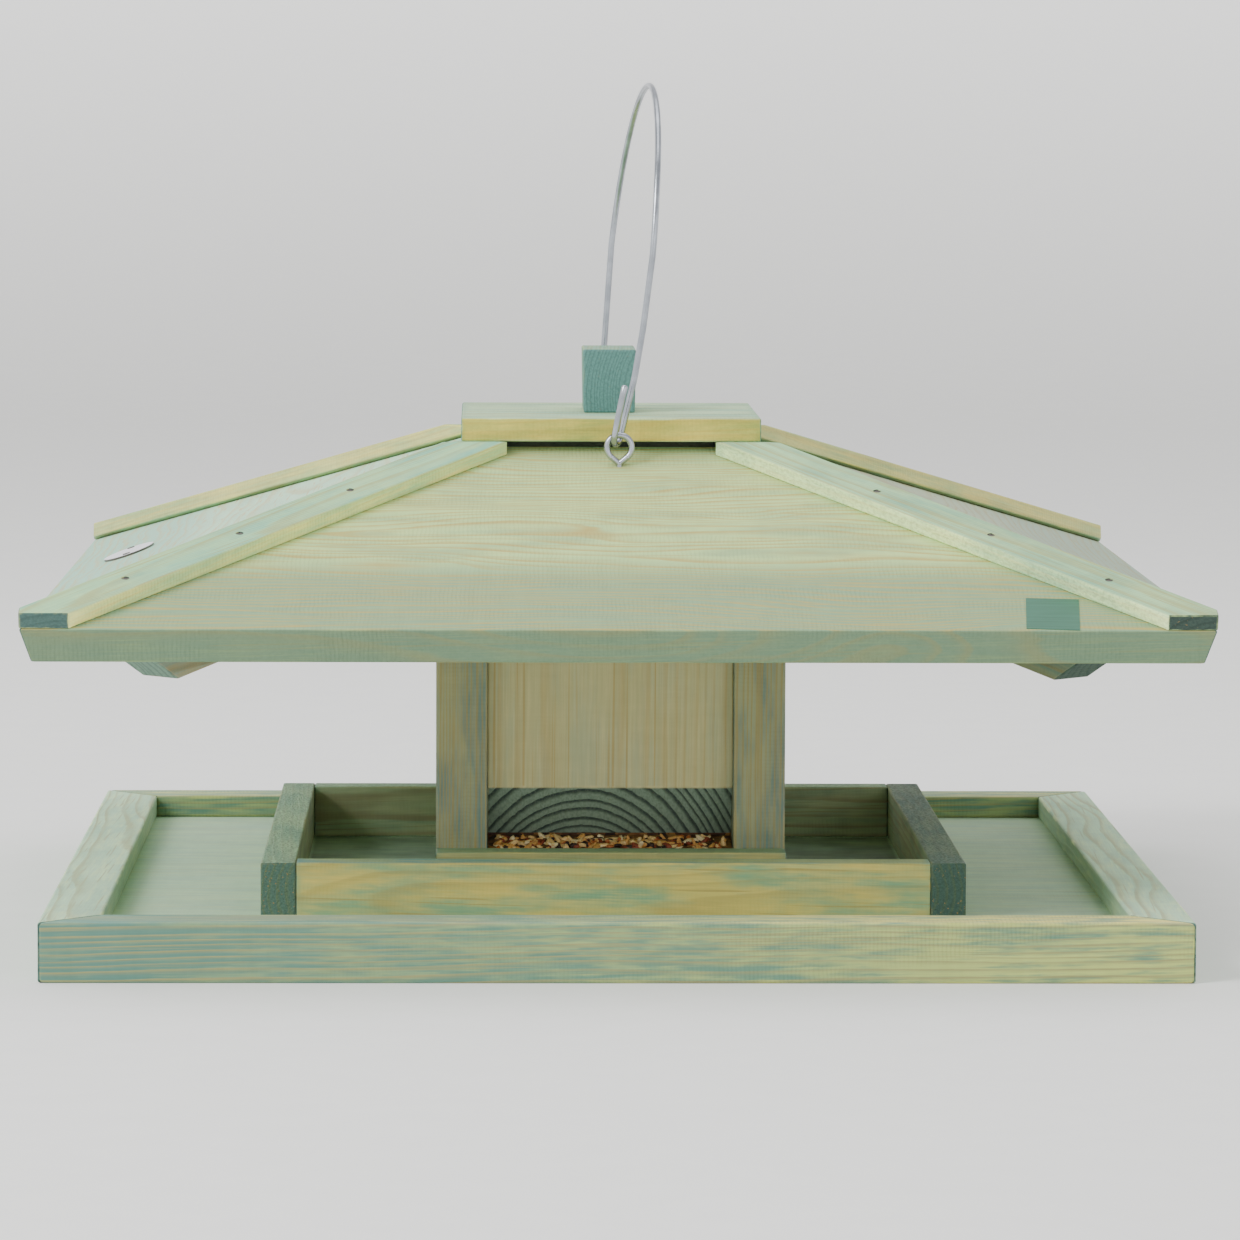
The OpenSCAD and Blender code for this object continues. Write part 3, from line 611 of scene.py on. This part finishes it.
def bail_route():
    """Points along the wire around its hinge line: tail, hook, leg, half-round top, leg, hook
    and tail. The front leg bows to the right like a wave that dies out above and below, and
    the front tail leans the same way."""
    hook_r, tail_l, height, tail_lean = 4.6, 27.0, 167.0, 0.09
    hook_turn, arch_turn, lean = (math.radians(angle) for angle in (22, 4, 6.5))
    bow_heights = [0, 12, 32, 55, 80, 120, height]
    bow_sizes = [0.0, 0.9, 2.3, 2.5, 1.7, 0.5, 0.0]
    with_tail = 12  # points of the hook that lean with its tail
    joint = next(j for j in frame["record"]["behaviour"]["joints"] if j["name"] == "bail_swing")
    swing = Vector(joint["axis"])
    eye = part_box("screw_eye_front")
    reach = -(eye[0][1] + eye[1][1]) / 2 / MM / swing.y
    up = np.array([0, 0, 1])
    sideways = np.array([math.sin(hook_turn), math.cos(hook_turn), 0.0])
    arch_r = reach - hook_r * math.cos(hook_turn)
    bend = np.array([0, -reach, hook_r])
    foot = np.array([arch_r * math.sin(arch_turn), -arch_r * math.cos(arch_turn), height - arch_r])

    turn = np.linspace(0, np.pi, 25)[:, None]
    hook = bend - hook_r * np.cos(turn) * sideways - hook_r * np.sin(turn) * up
    tail = bend - hook_r * sideways + np.linspace(tail_l - hook_r, 1, 8)[:, None] * up
    leg = hook[-1] + np.linspace(0, 1, 28)[1:, None] * (foot - hook[-1])
    half = np.vstack([tail, hook, leg])
    over = np.linspace(0, np.pi, 60)[1:-1, None]
    outward = np.array([math.sin(arch_turn), -math.cos(arch_turn), 0.0])
    arch = (height - arch_r) * up + arch_r * (np.cos(over) * outward + np.sin(over) * up)
    route = np.vstack([half, arch, (half * [-1, -1, 1])[::-1]])
    bow = np.interp(route[:, 2], bow_heights, bow_sizes)
    tip = np.arange(len(route)) < len(tail) + with_tail
    route[:, 0] += np.where(tip, tail_lean * route[:, 2], bow) * (route[:, 1] < 0)
    yaw = math.atan2(-swing.x, swing.y)
    place = Matrix.Rotation(yaw, 3, "Z") @ Matrix.Rotation(lean, 3, "Y")
    return route @ np.array(place).T * MM + np.array(joint["pos_m"])


def wire_tube(name, route, thickness, material):
    """A round tube along a route: at each point a circle square to the way there, each
    circle's start carried over from the last one. Past each end a smaller circle and a point
    make a blunt tip."""
    around = 14
    small, small_at, point_at = 0.4, 0.22, 0.35  # of the wire's thickness
    way = np.gradient(route, axis=0)
    way /= np.linalg.norm(way, axis=1)[:, None]
    side = np.empty_like(route)
    side[0] = np.cross(way[0], [0.0, 1.0, 0.0])
    for i in range(1, len(route)):
        side[i] = side[i - 1] - way[i] * np.dot(side[i - 1], way[i])
    side /= np.linalg.norm(side, axis=1)[:, None]
    turn = np.linspace(0, 2 * np.pi, around, endpoint=False)[:, None]
    circle = np.cos(turn) * side[:, None] + np.sin(turn) * np.cross(way, side)[:, None]
    ends, outward = route[[0, -1]], np.array([-way[0], way[-1]]) * thickness
    rims = (ends + small_at * outward)[:, None] + circle[[0, -1]] * thickness * small
    rings = np.vstack([rims[:1], route[:, None] + circle * thickness / 2, rims[1:]])
    points = np.vstack([rings.reshape(-1, 3), ends + point_at * outward])

    count = len(rings)
    i, k = np.arange(count - 1)[:, None] * around, np.arange(around)
    after, top = (k + 1) % around, (count - 1) * around
    walls = np.stack([i + k, i + after, i + around + after, i + around + k], -1).reshape(-1, 4)
    first = np.stack([np.full(around, count * around), after, k], 1)
    last = np.stack([np.full(around, count * around + 1), top + k, top + after], 1)
    return new_piece(name, points, walls.tolist() + first.tolist() + last.tolist(), material)


bail_wire = wire_tube("bail_wire", bail_route(), 3.0 * MM, ZINC)
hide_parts("bail")
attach(bail_wire, "bail")


# ---------------------------------------------------------------- seed

SLIM_TO, SLIM_AGAIN = 0.42, (0.76, 0.86)  # tints of the long, slim kinds of seed
HUSKS = [(0.0, "#f0c888"), (0.24, "#d79f58"), (SLIM_TO, "#b8672f"), (0.58, "#8a3c20"),
         (SLIM_AGAIN[0], "#f6dfae"), (0.88, "#33190f")]


def seed_husks():
    """Dry grain and seed: straw, tan, rust and dark husks, one tint for each seed, with specks
    0.7 mm wide."""
    material, tree = new_material("mixed_seed_husks")
    tint = add(tree, "Attribute", attribute_name="tint").outputs["Fac"]
    tone = add(tree, "ValToRGB", [tint])
    tone.color_ramp.interpolation = "CONSTANT"
    set_stops(tone, HUSKS)
    where = add(tree, "TexCoord").outputs["Object"]
    speck = add(tree, "TexNoise", {"Vector": where, "Scale": 1 / (0.714 * MM), "Detail": 2.0})
    shade = add(tree, "ValToRGB", [speck])
    set_stops(shade, [(0.3, 0.7), (0.7, 1.0)])
    both = add(tree, "Mix", {0: 1.0, 6: tone, 7: shade}, **TINT)
    end_material(tree, {"Base Color": both, "Roughness": 0.5})
    return material


def seed_bed():
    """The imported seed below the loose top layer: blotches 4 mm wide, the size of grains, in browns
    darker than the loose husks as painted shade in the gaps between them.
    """
    material, tree = new_material("packed_seed_shaded")
    where = add(tree, "TexCoord").outputs["Object"]
    grains = add(tree, "TexVoronoi", {"Vector": where, "Scale": 1 / (3.85 * MM)}).outputs
    tone = add(tree, "ValToRGB", [grains["Color"]])
    # painted shade: the buried seed is coloured darker than the loose husks, for the shade between
    # grains
    set_stops(tone, [(0.1, "#2f1a0d"), (0.4, "#5a3619"), (0.7, "#7d5427"), (0.95, "#9c7439")])
    bump = add(tree, "Bump", {
        "Height": grains["Distance"], "Strength": 0.8, "Distance": 1.2 * MM})
    end_material(tree, {"Base Color": tone, "Normal": bump, "Roughness": 0.7})
    return material


def scattered_seed(name, spots, seed):
    """Loose seeds at the given spots. Each is an ellipsoid: rings of points whose radius
    follows the square root of 1 - u * u along its length, closed at both tips. It is turned
    by its heading, its dip and its roll."""
    draw = np.random.default_rng(seed)
    count, around = len(spots), 6
    u = np.array([-0.75, 0.0, 0.75])
    turn = np.linspace(0, 2 * np.pi, around, endpoint=False)
    ring = np.sqrt(1 - u**2)[:, None]
    body = np.stack([
        np.repeat(u, around), (ring * np.cos(turn)).ravel(), (ring * np.sin(turn)).ravel()], 1)
    body = np.vstack([[-1, 0, 0], body, [1, 0, 0]])
    start, k, last = 1 + np.arange(len(u) - 1)[:, None] * around, np.arange(around), len(body) - 1
    after = (k + 1) % around
    walls = np.stack([
        start + k, start + around + k, start + around + after, start + after], -1).reshape(-1, 4)
    tips = np.vstack([
        np.stack([0 * k, 1 + k, 1 + after], 1),
        np.stack([last + 0 * k, last - around + after, last - around + k], 1)])

    tint = draw.random(count)
    slim = (tint < SLIM_TO) | ((tint > SLIM_AGAIN[0]) & (tint < SLIM_AGAIN[1]))
    length = np.where(slim, draw.uniform(3.4, 5.0, count), draw.uniform(1.7, 3.0, count))
    width = np.where(slim, draw.uniform(1.2, 1.8, count), draw.uniform(1.2, 1.9, count))
    size = np.stack([length, width, width * 0.75], 1) * MM
    heading = draw.uniform(0, 2 * np.pi, count)
    dip, roll = draw.normal(0, 0.45, count), draw.uniform(0, 3, count)
    ch, sh, cd, sd, cr, sr = (f(a) for a in (heading, dip, roll) for f in (np.cos, np.sin))
    zero, one = np.zeros(count), np.ones(count)
    yaw, pitch, spin = (np.stack(entries, 1).reshape(-1, 3, 3) for entries in (
        [ch, -sh, zero, sh, ch, zero, zero, zero, one],
        [cd, zero, sd, zero, one, zero, -sd, zero, cd],
        [one, zero, zero, zero, cr, -sr, zero, sr, cr]))
    points = np.einsum("nij,nkj->nki", yaw @ pitch @ spin, body[None] * size[:, None])
    points = (points + spots[:, None]).reshape(-1, 3)
    offsets = np.arange(count)[:, None, None] * len(body)
    faces = (walls + offsets).reshape(-1, 4).tolist() + (tips + offsets).reshape(-1, 3).tolist()
    piece = new_piece(name, points, faces, SEED_HUSKS)
    tints = piece.data.attributes.new("tint", "FLOAT", "POINT")
    tints.data.foreach_set("value", np.repeat(tint, len(body)))
    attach(piece, "root")


SEED_HUSKS = seed_husks()
finish_nodes(seed_bed(), "seed_fill")


def slot_spots(facing, count, seed):
    """Places on the seed's slope in one feeding slot, from the lip up to the board."""
    half_l, lip, slope_w, lip_height, slope_rise = 53.5, 78.0, 17.0, 37.2, 2.4
    draw = np.random.default_rng(seed)
    along, up = draw.uniform(-half_l, half_l, count), draw.uniform(0, 1, count)
    height = lip_height + slope_rise * up + draw.uniform(-0.8, 1.7, count)
    return np.stack([along, facing * (lip - slope_w * up), height], 1) * MM


def filled_spots(count, seed):
    """Places over the level top of the seed inside the hopper."""
    half_w, level = 52, 110.3
    draw = np.random.default_rng(seed)
    flat = draw.uniform(-half_w, half_w, (count, 2))
    return np.column_stack([flat, level + draw.uniform(-0.6, 0.9, count)]) * MM


scattered_seed("loose_seed_front", slot_spots(-1, 430, 11), 21)
scattered_seed("loose_seed_back", slot_spots(1, 430, 12), 22)
scattered_seed("loose_seed_inside", filled_spots(1500, 13), 23)


# ---------------------------------------------------------------- floor and light


def glowing_paper():
    """Matt white paper with a faint 25 mm cloudiness that glows with painted light of its own where it
    curves up, more the higher it rises; the glow also lights the table.
    """
    material, tree = new_material("glowing_white_paper")
    where = add(tree, "TexCoord").outputs["Object"]
    tooth = add(tree, "TexNoise", {"Vector": where, "Scale": 1 / (25 * MM), "Detail": 2.0})
    tone = add(tree, "ValToRGB", [tooth])
    set_stops(tone, [(0.3, "#f6f6f4"), (0.7, "#f8f8f6")])
    # painted light: the paper emits light, from none on the flat up to 0.55 at half a metre high
    height = add(tree, "SeparateXYZ", [where]).outputs["Z"]
    glow = add(tree, "MapRange", {
        "Value": height, "From Min": 0.0, "From Max": 0.5, "To Max": 0.55})
    end_material(tree, {"Base Color": tone, "Roughness": 0.9, "Emission Color": (1, 1, 1, 1),
                        "Emission Strength": glow})
    return material


def sweep_floor():
    """A round paper floor that curves up at its rim like a shallow dish: its height is 0 as
    far as the flat reaches, then rises with the square of the distance past it. The profile is
    turned once around."""
    around, flat, rim, steepness = 96, 4.2, 9.0, 0.16
    reach = np.linspace(flat, rim, 25)
    rise = steepness * (reach - flat) ** 2
    turn = np.linspace(0, 2 * np.pi, around, endpoint=False)
    points = np.stack([
        reach[:, None] * np.cos(turn), reach[:, None] * np.sin(turn),
        np.broadcast_to(rise[:, None], (len(reach), around))], -1).reshape(-1, 3)
    i, k = np.arange(len(reach) - 1)[:, None] * around, np.arange(around)
    after = (k + 1) % around
    walls = np.stack([i + k, i + around + k, i + around + after, i + after], -1).reshape(-1, 4)
    new_piece("paper_sweep", points, [k.tolist(), *walls.tolist()], glowing_paper())


def soft_light(name, place, target, size, power):
    """A square soft box aimed at a point."""
    light = bpy.data.lights.new(name, "AREA")
    light.shape = "SQUARE"
    light.size = size
    light.energy = power
    lamp = bpy.data.objects.new(name, light)
    lamp.location = place
    lamp.rotation_euler = (Vector(target) - Vector(place)).to_track_quat("-Z", "Y").to_euler()
    bpy.context.scene.collection.objects.link(lamp)


sweep_floor()
soft_light("key_box", (-2.6, -1.9, 2.3), (0, 0, 0.12), 1.6, 105)
soft_light("fill_box", (1.6, -3.0, 1.0), (0, 0, 0.15), 1.6, 7)
soft_light("top_box", (0, 0.3, 2.6), (0, 0, 0.1), 2.2, 30)
world = bpy.data.worlds.new("white_studio")
bpy.context.scene.world = world
world.use_nodes = True
sky = world.node_tree.nodes["Background"].inputs
sky["Color"].default_value = (1, 1, 1, 1)
sky["Strength"].default_value = 0.85
